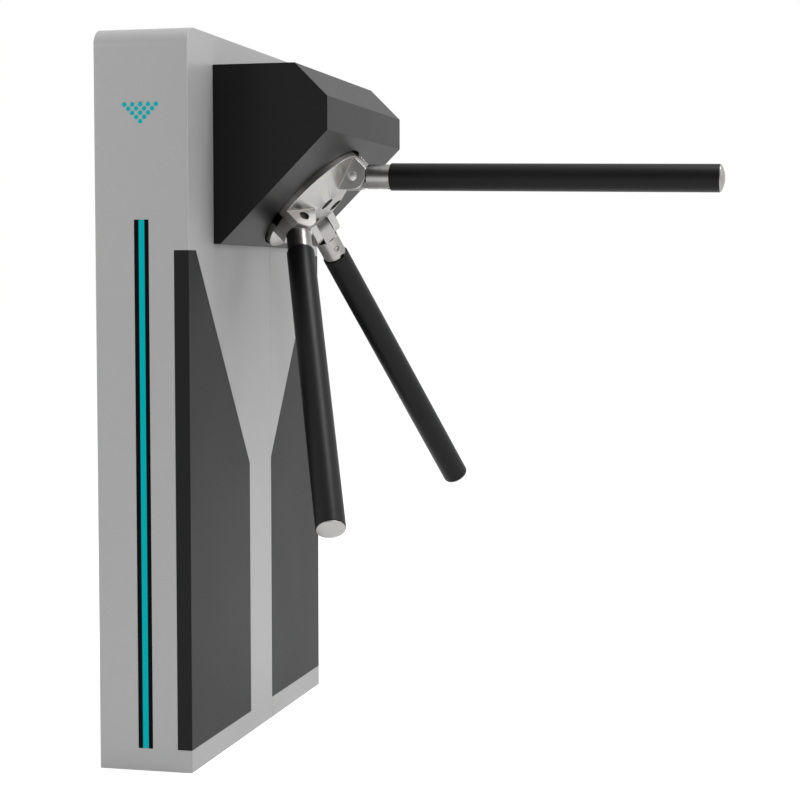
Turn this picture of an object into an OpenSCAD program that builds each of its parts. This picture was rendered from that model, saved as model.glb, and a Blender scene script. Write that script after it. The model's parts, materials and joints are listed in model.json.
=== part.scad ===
// Tripod turnstile with a slim cabinet, a side hood and a three-arm hub set at 45 degrees.
// Origin: centre of the cabinet's footprint, on the floor. +X points into the passage,
// +Y runs along the cabinet away from its front end, +Z is up.

/* [Cabinet] */
// Width of the cabinet across the passage
cabinet_w = 130; // [124:1:150]
// Length of the cabinet along the passage
cabinet_l = 600; // [560:5:700]
// Height of the cabinet above the floor
cabinet_h = 980; // [900:10:1080]
// Radius of the rounded top edge at each end
top_edge_r = 26; // [10:1:40]
// Radius of the bent vertical corners
bend_r = 2; // [1:0.5:4]
// Thickness of the cabinet sheet
wall = 2; // [1.5:0.25:3]
// Where the seam between the two shells lies along Y
seam_y = 50; // [20:1:90]
// Width of the seam
seam_gap = 0.5; // [0.3:0.1:1]
// Width of the lip that laps the seam inside
seam_lip_w = 12; // [8:1:20]
// Thickness of that lip
seam_lip_t = 1.5; // [1:0.25:2.5]

/* [Base and frame] */
// Thickness of the base plate
base_t = 10; // [6:1:16]
// Spacing of the anchor holes across the cabinet
anchor_dx = 80; // [60:1:90]
// Spacing of the anchor holes along the cabinet
anchor_dy = 520; // [440:5:530]
// Diameter of each anchor hole
anchor_d = 14; // [10:1:18]
// Diameter of the cable entry in the base plate
cable_entry_d = 60; // [30:1:70]
// Where the cable entry lies along Y
cable_entry_y = 190; // [170:1:200]
// Depth of a frame post across the cabinet
post_x = 30; // [24:1:36]
// Width of a frame post along the cabinet
post_y = 40; // [36:1:50]
// Wall of a frame post
post_t = 2; // [1.5:0.5:4]
// Distance of each post's centre from the middle of the cabinet
post_at_y = 130; // [130:1:140]
// Distance of the posts' top below the cabinet's top
post_drop = 52; // [20:1:60]
// Height of the lower cross bar
low_bar_z = 230; // [150:5:300]
// Distance of the upper cross bar below the hood's underside
high_bar_drop = 40; // [35:5:60]

/* [Side panels] */
// Thickness of the dark side panels
panel_t = 2; // [1.5:0.25:3]
// Gap round each panel
panel_gap = 0.2; // [0.1:0.1:0.6]
// Height of the panels' lower edge
panel_low_z = 30; // [20:1:60]
// Distance of the panels' upper edge below the hood's underside
panel_drop = 10; // [2:1:40]
// Width of the strip that folds round onto the end face
panel_strip_w = 20; // [12:1:30]
// Length of the straight top edge on the side face
panel_top_l = 30; // [10:1:60]
// Distance of the inner upright edge from the middle of the cabinet
panel_inner_y = 50; // [30:1:90]
// Height where the slanting edge meets the inner upright edge
panel_bend_z = 390; // [300:5:500]
// How far the sheet behind a panel reaches past its edge
panel_margin = 6; // [4:1:10]

/* [Light strips] */
// Width of each light channel
channel_w = 20; // [16:1:28]
// Depth of each light channel
channel_d = 10; // [8:1:16]
// Height of the channel's lower end
channel_low_z = 30; // [20:1:60]
// Length of the channel
channel_l = 700; // [600:5:760]
// Width of the lit diffuser
diffuser_w = 8; // [6:0.5:12]
// Thickness of the diffuser
diffuser_t = 3; // [2:0.5:4]
// Distance between the lamps on the light board
lamp_pitch = 25; // [15:1:50]

/* [Direction arrow] */
// Distance of the arrow's top row of dots below the cabinet's top
arrow_drop = 100; // [50:1:110]
// Number of dots in the top row
arrow_dots = 5; // [3:1:6]
// Distance between dots in a row
dot_pitch = 11; // [9:0.5:11]
// Distance between rows
row_pitch = 5.5; // [5:0.25:6]
// Diameter of a dot
dot_d = 5.6; // [3:0.1:6]
// How far a dot stands proud of the end face
dot_proud = 0.3; // [0:0.1:0.6]

/* [Hood] */
// Length of the hood along the cabinet
hood_l = 400; // [340:5:440]
// How far the hood stands out from the cabinet
hood_out = 160; // [150:1:180]
// Distance of the hood's top below the cabinet's top
hood_drop = 40; // [30:1:42]
// Height of the hood
hood_h = 240; // [238:1:250]
// Size of the chamfer along the hood's top edge
hood_chamfer = 45; // [20:1:50]
// Width of the flat underside next to the cabinet
hood_flat = 10; // [8:1:16]
// Thickness of the hood sheet
hood_t = 2; // [1.5:0.25:3]
// Gap between the hub's rim and the hood's round opening
hood_hub_gap = 2.5; // [1.5:0.5:4]
// Width of the hood's screw flanges
hood_flange_w = 17; // [14:1:24]

/* [Hub] */
// Where the arms' axes meet, out from the cabinet's side face
apex_out = 50; // [48:1:52]
// Height where the arms' axes meet, above the hood's underside
apex_up = 100; // [98:1:104]
// Angle between each arm and the hub's axis
arm_cone = 44; // [43:0.5:45]
// Radius of the hub
hub_r = 90; // [88:0.5:92]
// Depth of the hub's back face from the arms' meeting point
hub_back = 32; // [30:1:34]
// Depth of the rim's front edge
hub_rim = 50.5; // [49:0.5:52]
// Depth of the hub's flat front face
hub_face = 70.3; // [69:0.1:71]
// Radius of the flat front face
hub_face_r = 34; // [34:0.5:36]
// Radius of the circle of hub screws
hub_screw_at = 24.5; // [22:0.5:25]
// Diameter of a hub screw's counterbore
counterbore_d = 18; // [17:0.5:18]
// Distance of the ears' outer faces from the arm's centre plane
ear_half_w = 22; // [20:0.5:23]
// Distance of the pivot from the arms' meeting point, along the arm
pivot_at = 95; // [94:0.5:95.5]
// Radius of the ears round the pivot
ear_r = 18.5; // [17.5:0.5:18.5]
// Radius of a pivot pin
pivot_pin_r = 7; // [5:0.25:8]

/* [Arms] */
// Outer diameter of an arm
arm_d = 39; // [36:0.5:40]
// Wall of an arm's tube
arm_wall = 2; // [1.5:0.25:3]
// Where an arm's tube starts, from the arms' meeting point
tube_from = 147; // [143:1:150]
// Length of an arm's tube
tube_l = 463; // [400:1:480]
// Diameter of the collar at an arm's root
collar_d = 35; // [34:0.5:35]
// Gap between the ears and the collar
collar_gap = 0.6; // [0.5:0.1:1.5]
// Thickness of the tongue between the ears
tongue_t = 20.6; // [18:0.2:22]
// Gap on each side of the tongue
tongue_gap = 0.3; // [0.2:0.05:0.6]
// Height of the domed end cap
cap_dome_h = 5; // [3:0.5:8]
// Thickness of the cap's edge
cap_edge_t = 2; // [1:0.5:3]
// Diameter of the set screw in the collar
set_screw_d = 8.6; // [6:0.2:10]

/* [Shaft and bearings] */
// Radius of the shaft in its bearings
shaft_r = 15; // [14:0.5:16]
// Outer radius of a bearing
bearing_r = 31; // [29:0.5:32]
// Width of a bearing
bearing_w = 16; // [14:0.5:17]
// Radius of the shaft's flange
shaft_flange_r = 42; // [36:1:44]
// Thickness of the shaft's flange
shaft_flange_t = 12; // [8:0.5:13]
// Radius of the bearing housing
housing_r = 39; // [37:0.5:40]
// Radius of the housing's flange
housing_flange_r = 54; // [50:0.5:56]
// Radius of the circle of housing screws
housing_screw_at = 46.5; // [46:0.5:47]

/* [Gears and lock] */
// Module of the gears
gear_module = 2.5; // [2.4:0.05:2.5]
// Teeth on the shaft's gear
gear_teeth = 48; // [48:1:48]
// Teeth on the motor's pinion
pinion_teeth = 16; // [16:1:16]
// Face width of the gears
gear_w = 10; // [6:0.5:10]
// Backlash between the gears
backlash = 0.25; // [0.15:0.05:0.4]
// Radius of the lock disc
lock_r = 48; // [46:0.5:48]
// Depth of a notch in the lock disc
notch_d = 7; // [6:0.5:8]
// Width of a notch
notch_w = 12.5; // [12:0.5:14]
// Thickness of the lock disc and its pawls
lock_t = 6; // [4:0.5:6]
// Play round a turned pin or shaft, on the radius
run_play = 0.05; // [0.02:0.01:0.1]
// Play round a part that is fixed in a hole, on the radius
seat_play = 0.02; // [0.01:0.01:0.05]
// Swing of a pawl between free and locked, in degrees
pawl_swing = 9; // [8:0.5:9]
// Length of a pawl's arm to the plunger
pawl_link = 18; // [16:0.5:18]

/* [Service door] */
// Length of the door along the cabinet
door_l = 200; // [160:1:230]
// Height of the door
door_h = 480; // [380:5:520]
// Where the door's hinge edge lies along Y
door_edge_y = -210; // [-230:1:-200]
// Height of the door's lower edge
door_low_z = 220; // [180:5:260]
// Gap round the door
door_gap = 0.5; // [0.4:0.1:1.5]
// Distance of the hinge axis from the side face
hinge_out = 5; // [4.6:0.2:7]
// Radius of a hinge knuckle
knuckle_r = 4; // [3.5:0.25:4.5]
// Length of a hinge
hinge_l = 50; // [40:1:80]
// Radius of a hinge pin
hinge_pin_r = 2; // [1.5:0.25:2.5]

/* [Hidden] */
$fn = 72;

e = 0.01;
side_x = cabinet_w / 2;
end_y = cabinet_l / 2;
apex_x = side_x + apex_out;
hood_x = side_x + hood_out;
hood_top_z = cabinet_h - hood_drop;
hood_low_z = hood_top_z - hood_h;
apex_z = hood_low_z + apex_up;
post_top_z = cabinet_h - post_drop;
high_bar_z = hood_low_z - high_bar_drop;
panel_top_z = hood_low_z - panel_drop;
arrow_top_z = cabinet_h - arrow_drop;

// Directions of the tilted mechanism: depth goes along the hub's axis, rise goes up the slope
function at_x(depth, rise) = apex_x + (depth + rise) / sqrt(2);
function at_z(depth, rise) = apex_z + (rise - depth) / sqrt(2);
// Depth of the plane through a point of the XZ plane, and how far up the slope it lies
function depth_of(x, z) = ((x - apex_x) - (z - apex_z)) / sqrt(2);

// Height where the hood's slope meets its upright face
hood_slope_z = hood_low_z + hood_out - hood_flat;

// Wall opening behind the hood, where the mechanism passes through
opening_y = 104;
opening_low_z = apex_z - 58;
opening_top_z = apex_z + 125;

// Mechanism plates, as depths along the hub's axis
plate_t = 6;
plate_front = 8;
plate_back = plate_front - plate_t;
plate_y = 110;
plate_low = -68;
plate_high = 100;
cheek_t = 4;
cheek_top_l = 74;
bracket_top_z = opening_top_z - 14;
bracket_flange_t = 4;
bracket_flange_w = 44;
housing_front = 12;
housing_end = -64;
gear_plate_t = 6;
gear_plate_back = housing_end - gear_plate_t;
gear_plate_x = 92;
gear_plate_low_y = -84;
gear_from = gear_plate_back - 2;
gear_to = gear_from - gear_w;
lock_front = -86;
lock_back = lock_front - lock_t;
encoder_t = 1.5;
encoder_boss = 5.5;
encoder_r = 40;
boss_r = 18;
seat_r = shaft_r - 2;
thread_r = 10;
nut_t = 6.5;
pilot_r = 12;
pilot_h = 8;
screw_head_r = 8;
screw_head_h = 10;
screw_r = 5;
m8_r = 4;
m8_hole_r = 4.2;
m8_head_r = 6.5;
m8_head_h = 6;
m6_r = 3;
m6_hole_r = 3.3;
m6_head_r = 5;

pinion_y = gear_module * (gear_teeth + pinion_teeth) / 2;
motor_r = 22;
motor_shaft_r = 4;

pawl_x = 60;
pawl_y = -45;
post_r = 4;
tooth_y = 2.1;
tooth_w = 9;
tooth_x = lock_r + 2;
pawl_w = 12;
plunger_depth = gear_plate_back - 11;
plunger_r = 4.5;
solenoid_w = 22;
solenoid_from = -22;
solenoid_to = 20;
fork_from = -51;
fork_to = -39;
link_pin_r = 2;
pillar_r = 7;
pillar_at = [[56, -76], [56, 76], [-80, -76], [-80, 76]];

hinge_x = -side_x - hinge_out;
hinge_y = door_edge_y - 4;
hinge_zs = [door_low_z + 40, door_low_z + door_h - 40 - hinge_l];
hinge_leaf_t = 2;
hinge_leaf_w = 24;
lip = 8;
lip_t = 1.5;
lap_gap = 0.3;
lock_nut_r = 13;
lock_y = door_edge_y + door_l - lip - lock_nut_r - 1;
lock_z = door_low_z + door_h / 2;
lock_body_r = 9.4;
lock_plug_r = 6.5;
cam_x = -side_x + 9;
cam_t = 2;
cam_l = 26;
cam_gap = 0.4;

arm_r = arm_d / 2;
collar_from = pivot_at + ear_r + collar_gap;
spigot_l = 60;
tube_to = tube_from + tube_l;
ear_top = pivot_at + ear_r;
// Where the ears start inside the hub, along the arm, and how far out they are drawn
ear_foot = 60;
ear_reach = 50;
// The plate that carries the electrics, behind the service door
equipment_t = 2;
equipment_low_z = low_bar_z + post_x + 10;
equipment_h = 290;
equipment_half_l = post_at_y + post_y / 2;
board_low_z = equipment_low_z + 160;
supply_low_z = equipment_low_z + 20;

// Placement helpers

// Local z along the hub's axis, local x down the slope, local y along the cabinet
module tilted() {
    translate([apex_x, 0, apex_z]) rotate([0, 135, 0]) children();
}

// Arm frame: z along the arm, x away from the hub's axis, y along the pivot
module on_arm(k) {
    tilted() rotate([0, 0, 180 + 120 * k]) rotate([0, arm_cone, 0]) children();
}

module ring(r_out, r_in, z0, z1) {
    translate([0, 0, z0]) difference() {
        cylinder(r = r_out, h = z1 - z0);
        translate([0, 0, -1]) cylinder(r = r_in, h = z1 - z0 + 2);
    }
}

module disc(r, z0, z1) {
    translate([0, 0, z0]) cylinder(r = r, h = z1 - z0);
}

module block(x0, x1, y0, y1, z0, z1) {
    translate([x0, y0, z0]) cube([x1 - x0, y1 - y0, z1 - z0]);
}

// A flat plate with round corners, lying in the local XY plane
module round_plate(x0, x1, y0, y1, z0, z1, r) {
    translate([0, 0, z0]) linear_extrude(z1 - z0) {
        translate([x0 + r, y0]) square([x1 - x0 - 2 * r, y1 - y0]);
        translate([x0, y0 + r]) square([x1 - x0, y1 - y0 - 2 * r]);
        for (x = [x0 + r, x1 - r], y = [y0 + r, y1 - r]) translate([x, y]) circle(r);
    }
}

// Puts the children at the front end as drawn and turned round at the rear end
module at_end(rear) {
    if (rear) mirror([0, 1, 0]) children();
    else children();
}

// Cabinet

module side_profile(inset, low) {
    translate([-end_y + inset, low]) square([cabinet_l - 2 * inset, cabinet_h - top_edge_r - low]);
    translate([-end_y + top_edge_r, low])
        square([cabinet_l - 2 * top_edge_r, cabinet_h - inset - low]);
    for (s = [-1, 1]) translate([s * (end_y - top_edge_r), cabinet_h - top_edge_r])
        circle(top_edge_r - inset);
}

// Radius of a vertical corner of the cabinet form, moved inwards by inset
function inner_bend_r(inset) = max(bend_r - inset, 0.2);

// Cabinet form moved inwards by inset, from height low
module cabinet_form(inset, low) {
    r = inner_bend_r(inset);
    intersection() {
        translate([-side_x + inset, 0, 0]) rotate([90, 0, 90])
            linear_extrude(cabinet_w - 2 * inset) side_profile(inset, low);
        round_plate(-side_x + inset, side_x - inset, -end_y + inset, end_y - inset,
            low - 1, cabinet_h + 1, r);
    }
}

// Outline of a side panel in the YZ plane, grown by g
module panel_outline(g) {
    polygon([
        [-end_y - 1, panel_low_z - g], [-panel_inner_y + g, panel_low_z - g],
        [-panel_inner_y + g, panel_bend_z + g / 2],
        [-end_y + panel_top_l + g, panel_top_z + g], [-end_y - 1, panel_top_z + g]
    ]);
}

// Space of a side panel between two depths below the faces, grown by g
module panel_space(from, to, g) {
    translate([side_x - to, 0, 0]) rotate([90, 0, 90])
        linear_extrude(to - from) panel_outline(g);
    block(side_x - panel_strip_w - g, side_x - from, -end_y + from, -end_y + to,
        panel_low_z - g, panel_top_z + g);
}

module side_panel(rear) {
    color([0.16, 0.16, 0.17]) at_end(rear) intersection() {
        panel_space(0, panel_t, -panel_gap);
        cabinet_form(0, -1);
    }
}

module channel_space(g, depth) {
    block(-channel_w / 2 - g, channel_w / 2 + g, -end_y - 1, -end_y + depth,
        channel_low_z - g, channel_low_z + channel_l + g);
}

module dot_places() {
    for (row = [0 : arrow_dots - 1], i = [0 : arrow_dots - 1 - row])
        translate([(i - (arrow_dots - 1 - row) / 2) * dot_pitch, -end_y,
            arrow_top_z - row * row_pitch]) rotate([-90, 0, 0]) children();
}

module bracket_bolt_places() {
    for (y = [-post_at_y, post_at_y], z = [opening_low_z + 10, bracket_top_z - 16])
        translate([side_x, y, z]) rotate([0, 90, 0]) children();
}

module hood_screw_places() {
    for (y = [-1, 1], z = [hood_low_z + 30, (hood_low_z + hood_top_z) / 2, hood_top_z - 30])
        translate([side_x, y * (hood_l / 2 - hood_flange_w / 2), z]) rotate([0, 90, 0]) children();
}

// Whole sheet body of the cabinet, before it is split at the seam
module shell_body() {
    difference() {
        union() {
            difference() {
                cabinet_form(0, 0);
                cabinet_form(wall, -1);
            }
            for (rear = [false, true]) at_end(rear) intersection() {
                panel_space(panel_t, panel_t + wall, panel_margin);
                cabinet_form(0, 0);
            }
        }
        for (rear = [false, true]) at_end(rear) {
            panel_space(-1, panel_t, 0);
            channel_space(0.1, wall + 1);
            dot_places() translate([0, 0, -1]) cylinder(d = dot_d + 0.2, h = wall + 2);
        }
        block(side_x - wall - 1, side_x + 1, -opening_y, opening_y, opening_low_z, opening_top_z);
        bracket_bolt_places() translate([0, 0, -wall - 1]) cylinder(r = m8_hole_r, h = wall + 2);
        hood_screw_places() translate([0, 0, -wall - 1]) cylinder(r = m6_hole_r, h = wall + 2);
    }
}

module front_shell() {
    edge = seam_y - seam_gap / 2;
    y0 = door_edge_y;
    y1 = door_edge_y + door_l;
    z1 = door_low_z + door_h;
    color([0.7, 0.7, 0.7]) difference() {
        union() {
            intersection() {
                shell_body();
                block(-cabinet_w, cabinet_w, -cabinet_l, edge, -1, cabinet_h + 1);
            }
            // Lip that the door closes on, with the strike for its lock
            block(-side_x + wall, -side_x + wall + lip_t, y0 - lip, y1 + lip,
                door_low_z - lip, z1 + lip);
            block(-side_x + wall + lip_t - e, cam_x - cam_gap, y1 - lip, y1 + lip,
                lock_z - 20, lock_z + 20);
        }
        block(-side_x - 1, -side_x + wall, y0, y1, door_low_z, z1);
        block(-side_x - 1, cam_x + 1, y0 + lip, y1 - lip, door_low_z + lip, z1 - lip);
    }
}

module rear_shell() {
    edge = seam_y + seam_gap / 2;
    color([0.7, 0.7, 0.7]) {
        intersection() {
            shell_body();
            block(-cabinet_w, cabinet_w, edge, cabinet_l, -1, cabinet_h + 1);
        }
        // Lip that laps the seam from inside, open where the mechanism and the panels are
        difference() {
            intersection() {
                cabinet_form(wall, base_t + 1);
                union() {
                    block(-cabinet_w, cabinet_w, edge, edge + seam_lip_w, 0, cabinet_h);
                    block(-side_x + wall + lap_gap, side_x - wall - lap_gap, edge - seam_lip_w, edge,
                        0, cabinet_h - wall - lap_gap);
                }
            }
            cabinet_form(wall + lap_gap + seam_lip_t, base_t - 1);
            for (z = [low_bar_z, high_bar_z]) block(0, cabinet_w, edge - seam_lip_w - 1,
                edge + seam_lip_w + 1, z - lap_gap, z + post_x + lap_gap);
            block(0, cabinet_w, edge - seam_lip_w - 1, edge + seam_lip_w + 1,
                panel_low_z - 2 * panel_margin, panel_bend_z + 4 * panel_margin);
            block(0, cabinet_w, edge - seam_lip_w - 1, edge + seam_lip_w + 1,
                opening_low_z - 4, opening_top_z + 4);
        }
    }
}

module base_plate() {
    color([0.45, 0.45, 0.46]) difference() {
        round_plate(-side_x + wall, side_x - wall, -end_y + wall, end_y - wall, 0, base_t,
            inner_bend_r(wall) + e);
        for (rear = [false, true]) at_end(rear)
            panel_space(-1, panel_t + wall, panel_margin);
        for (x = [-1, 1], y = [-1, 1]) translate([x * anchor_dx / 2, y * anchor_dy / 2, -1])
            cylinder(d = anchor_d, h = base_t + 2);
        translate([0, cable_entry_y, -1]) cylinder(d = cable_entry_d, h = base_t + 2);
    }
}

module support_frame() {
    x1 = side_x - wall;
    x0 = x1 - post_x;
    color([0.3, 0.3, 0.32]) difference() {
        union() {
            for (s = [-1, 1]) difference() {
                block(x0, x1, s * post_at_y - post_y / 2, s * post_at_y + post_y / 2,
                    base_t, post_top_z);
                block(x0 + post_t, x1 - post_t, s * post_at_y - post_y / 2 + post_t,
                    s * post_at_y + post_y / 2 - post_t, base_t + 6, post_top_z + 1);
            }
            for (z = [low_bar_z, high_bar_z]) difference() {
                block(x0, x1, -post_at_y + post_y / 2, post_at_y - post_y / 2, z, z + post_x);
                block(x0 + post_t, x1 - post_t, -post_at_y, post_at_y,
                    z + post_t, z + post_x - post_t);
            }
            // Foot plate under each post
            for (s = [-1, 1]) block(x0 - 20, x1, s * post_at_y - post_y / 2 - 8,
                s * post_at_y + post_y / 2 + 8, base_t, base_t + 5);
        }
        bracket_bolt_places() translate([0, 0, -wall - post_t - 1])
            cylinder(r = m8_hole_r, h = post_t + 2);
        // The sheet behind a side panel sits a little further in than the plain wall
        for (rear = [false, true]) at_end(rear)
            panel_space(-1, panel_t + wall, panel_margin);
    }
}

// Light strips and direction arrow

channel_back_t = 1.5;

module light_channel(rear) {
    z1 = channel_low_z + channel_l;
    color([0.1, 0.1, 0.1]) at_end(rear) difference() {
        union() {
            block(-channel_w / 2, channel_w / 2, -end_y, -end_y + channel_d, channel_low_z, z1);
            block(-channel_w / 2 - 6, channel_w / 2 + 6, -end_y + wall, -end_y + wall + 1.5,
                channel_low_z - 6, z1 + 6);
        }
        block(-diffuser_w / 2 - 0.1, diffuser_w / 2 + 0.1, -end_y - 1, -end_y + channel_d - channel_back_t,
            channel_low_z - 1, z1 + 1);
    }
}

module light_diffuser(rear) {
    color([0.0, 0.66, 0.67]) at_end(rear)
        block(-diffuser_w / 2, diffuser_w / 2, -end_y + 0.3, -end_y + 0.3 + diffuser_t,
            channel_low_z + 0.1, channel_low_z + channel_l - 0.1);
}

module light_boards() {
    color([0.9, 0.9, 0.88]) for (rear = [false, true]) at_end(rear) {
        back = -end_y + channel_d - channel_back_t;
        block(-diffuser_w / 2 + 0.6, diffuser_w / 2 - 0.6, back - 1.2, back,
            channel_low_z + 4, channel_low_z + channel_l - 4);
        for (z = [channel_low_z + 12 : lamp_pitch : channel_low_z + channel_l - 12])
            block(-1.5, 1.5, back - 2, back - 1.2 + e, z, z + 3.5);
    }
}

arrow_half_w = (arrow_dots - 1) * dot_pitch / 2 + 8;
arrow_low_z = arrow_top_z - (arrow_dots - 1) * row_pitch - 8;
carrier_y = -end_y + wall;

module indicator_lens(rear) {
    color([0.0, 0.66, 0.67]) at_end(rear) {
        block(-arrow_half_w, arrow_half_w, carrier_y, carrier_y + 2, arrow_low_z, arrow_top_z + 8);
        dot_places() translate([0, 0, -dot_proud]) cylinder(d = dot_d, h = wall + dot_proud + 1);
    }
}

module indicator_boards() {
    color([0.1, 0.35, 0.2]) for (rear = [false, true]) at_end(rear) {
        y0 = carrier_y + 2 + 6;
        block(-arrow_half_w, arrow_half_w, y0, y0 + 1.6, arrow_low_z, arrow_top_z + 8);
        for (x = [-1, 1], z = [arrow_low_z + 4, arrow_top_z + 4])
            translate([x * (arrow_half_w - 4), y0 + e, z]) rotate([90, 0, 0])
                cylinder(r = 2.5, h = 6 + e, $fn = 24);
        dot_places() translate([0, 0, y0 + end_y - 2]) cylinder(d = 3, h = 2 + e, $fn = 16);
    }
}

// Hood

module hood_outline(t) {
    k = t * tan(22.5);
    x0 = side_x - (t > 0 ? 1 : 0);
    polygon([
        [x0, hood_low_z + t], [side_x + hood_flat - k, hood_low_z + t],
        [hood_x - t, hood_slope_z + k], [hood_x - t, hood_top_z - hood_chamfer - k],
        [hood_x - hood_chamfer - k, hood_top_z - t], [x0, hood_top_z - t]
    ]);
}

module hood_form(t) {
    translate([0, hood_l / 2 - t, 0]) rotate([90, 0, 0])
        linear_extrude(hood_l - 2 * t) hood_outline(t);
}

module hood_shell() {
    color([0.14, 0.14, 0.15]) difference() {
        union() {
            difference() {
                hood_form(0);
                hood_form(hood_t);
            }
            for (s = [-1, 1]) intersection() {
                block(side_x, side_x + hood_t, s * (hood_l / 2 - hood_flange_w / 2) - hood_flange_w / 2,
                    s * (hood_l / 2 - hood_flange_w / 2) + hood_flange_w / 2, hood_low_z, hood_top_z);
                hood_form(0);
            }
        }
        tilted() disc(hub_r + hood_hub_gap, 20, 80);
        hood_screw_places() translate([0, 0, -1]) cylinder(r = m6_r + seat_play, h = hood_t + 2);
    }
}

module hood_screws() {
    color([0.75, 0.75, 0.76]) hood_screw_places() difference() {
        union() {
            disc(m6_head_r, -wall - 5, -wall);
            disc(m6_r, -wall - 1, 8);
        }
        translate([0, 0, -wall - 5 - e]) cylinder(r = 2.9, h = 3, $fn = 6);
    }
}

// Mechanism carrier

module housing_screw_places() {
    for (a = [45 : 90 : 315]) rotate([0, 0, a]) translate([housing_screw_at, 0, 0]) children();
}

// Side cheek in the XZ plane: it joins the upright flange to the tilted plate
module cheek_outline() {
    mid = (plate_back + plate_front) / 2;
    polygon([
        [side_x, opening_low_z], [at_x(mid, plate_low), at_z(mid, plate_low)],
        [at_x(mid, plate_high), at_z(mid, plate_high)],
        [at_x(plate_back, plate_high), at_z(plate_back, plate_high)],
        [side_x + cheek_top_l, bracket_top_z], [side_x, bracket_top_z]
    ]);
}

module mechanism_bracket() {
    color([0.55, 0.56, 0.58]) difference() {
        union() {
            tilted() block(-plate_high, -plate_low, -plate_y, plate_y, plate_back, plate_front);
            for (side = [false, true]) at_end(side) {
                translate([0, -plate_y + cheek_t, 0]) rotate([90, 0, 0])
                    linear_extrude(cheek_t) cheek_outline();
                block(side_x, side_x + bracket_flange_t, -plate_y - bracket_flange_w + cheek_t,
                    -plate_y + cheek_t, opening_low_z, bracket_top_z);
            }
        }
        tilted() {
            disc(housing_r + seat_play, plate_back - 1, plate_front + 1);
            housing_screw_places() disc(m8_r + seat_play, plate_back - 1, plate_front + 1);
            // Nothing of the bracket passes in front of its plate
            block(-200, 200, -200, 200, plate_front, 100);
        }
        bracket_bolt_places() translate([0, 0, -1]) cylinder(r = m8_hole_r, h = bracket_flange_t + 2);
    }
}

module m8_screw(grip, l) {
    difference() {
        union() {
            disc(m8_head_r, grip, grip + m8_head_h);
            disc(m8_r, grip - l, grip + 1);
        }
        translate([0, 0, grip + m8_head_h - 4]) cylinder(r = 3.6, h = 5, $fn = 6);
    }
}

module bracket_bolts() {
    color([0.75, 0.75, 0.76]) {
        bracket_bolt_places() m8_screw(bracket_flange_t, 20);
        tilted() housing_screw_places() m8_screw(plate_front, 14);
    }
}

bearing_fronts = [11, housing_end + bearing_w];

module bearing_housing() {
    color([0.6, 0.6, 0.62]) tilted() difference() {
        union() {
            disc(housing_r, housing_end, housing_front);
            disc(housing_flange_r, plate_back - 10, plate_back);
        }
        for (f = bearing_fronts) disc(bearing_r + seat_play, f - bearing_w, f);
        disc(bearing_r + seat_play, 5, housing_front + 1);
        disc(bearing_r + seat_play, housing_end - 1, housing_end + 1);
        disc(bearing_r - 4, housing_end - 1, housing_front + 1);
        housing_screw_places() disc(m8_r + seat_play, plate_back - 12, plate_back + 1);
    }
}

module bearing_outer_races() {
    color([0.8, 0.8, 0.82]) tilted() for (f = bearing_fronts) {
        ring(bearing_r, bearing_r - 4, f - bearing_w, f);
        // Seals that close the ball track
        ring(bearing_r - 4 + e, shaft_r + 4.3, f - 2, f - 1);
        ring(bearing_r - 4 + e, shaft_r + 4.3, f - bearing_w + 1, f - bearing_w + 2);
    }
}

module bearing_inner_races() {
    color([0.8, 0.8, 0.82]) tilted() for (f = bearing_fronts)
        ring(shaft_r + 4, shaft_r + seat_play, f - bearing_w, f);
}

module gear_plate() {
    color([0.55, 0.56, 0.58]) tilted() difference() {
        round_plate(-gear_plate_x, gear_plate_x, gear_plate_low_y, pinion_y + motor_r,
            gear_plate_back, housing_end, 6);
        disc(boss_r + 3, gear_plate_back - 1, housing_end + 1);
        translate([0, pinion_y, 0]) disc(motor_shaft_r + 4, gear_plate_back - 1, housing_end + 1);
    }
}

module plate_pillars() {
    color([0.75, 0.75, 0.76]) tilted() {
        for (p = pillar_at) translate([p[0], p[1], 0]) disc(pillar_r, housing_end, plate_back);
        // Posts that the pawls turn on
        for (s = [-1, 1]) translate([s * pawl_x, pawl_y, 0]) {
            disc(post_r, lock_back - 4, gear_plate_back);
            disc(post_r + 3, lock_front + 0.3, gear_plate_back);
            disc(post_r + 2, lock_back - 3.5, lock_back - 0.3);
        }
    }
}

// Hub, shaft and what turns with them

// Shape of one ear seen along the pivot: x away from the hub's axis, y along the arm
module ear_outline() {
    translate([0, pivot_at]) circle(ear_r);
    translate([0, ear_foot]) square([ear_reach, ear_top - ear_foot]);
    translate([-ear_r, ear_foot]) square([ear_r + e, pivot_at - ear_foot]);
}

// Space that a tongue needs between the ears, in radius and depth
module slot_outline(r) {
    pr = pivot_at * sin(arm_cone);
    pd = pivot_at * cos(arm_cone);
    tr = pr - r * cos(arm_cone);
    td = pd - r * sin(arm_cone);
    reach = 60;
    translate([pr - r, hub_back - 2]) square([reach, reach + 20]);
    polygon([
        [tr, td], [tr - reach * sin(90 - arm_cone) / 3, td + reach * cos(90 - arm_cone) / 3],
        [tr - reach * sin(90 - arm_cone) / 3, hub_face + 30],
        [hub_r + 10, hub_face + 30], [hub_r + 10, td]
    ]);
}

slot_r = 17.6;
slot_half = tongue_t / 2 + tongue_gap;

module hub_turned() {
    rotate_extrude() polygon([
        [0, hub_back], [hub_r, hub_back], [hub_r, hub_rim], [hub_face_r, hub_face], [0, hub_face]
    ]);
}

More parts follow.
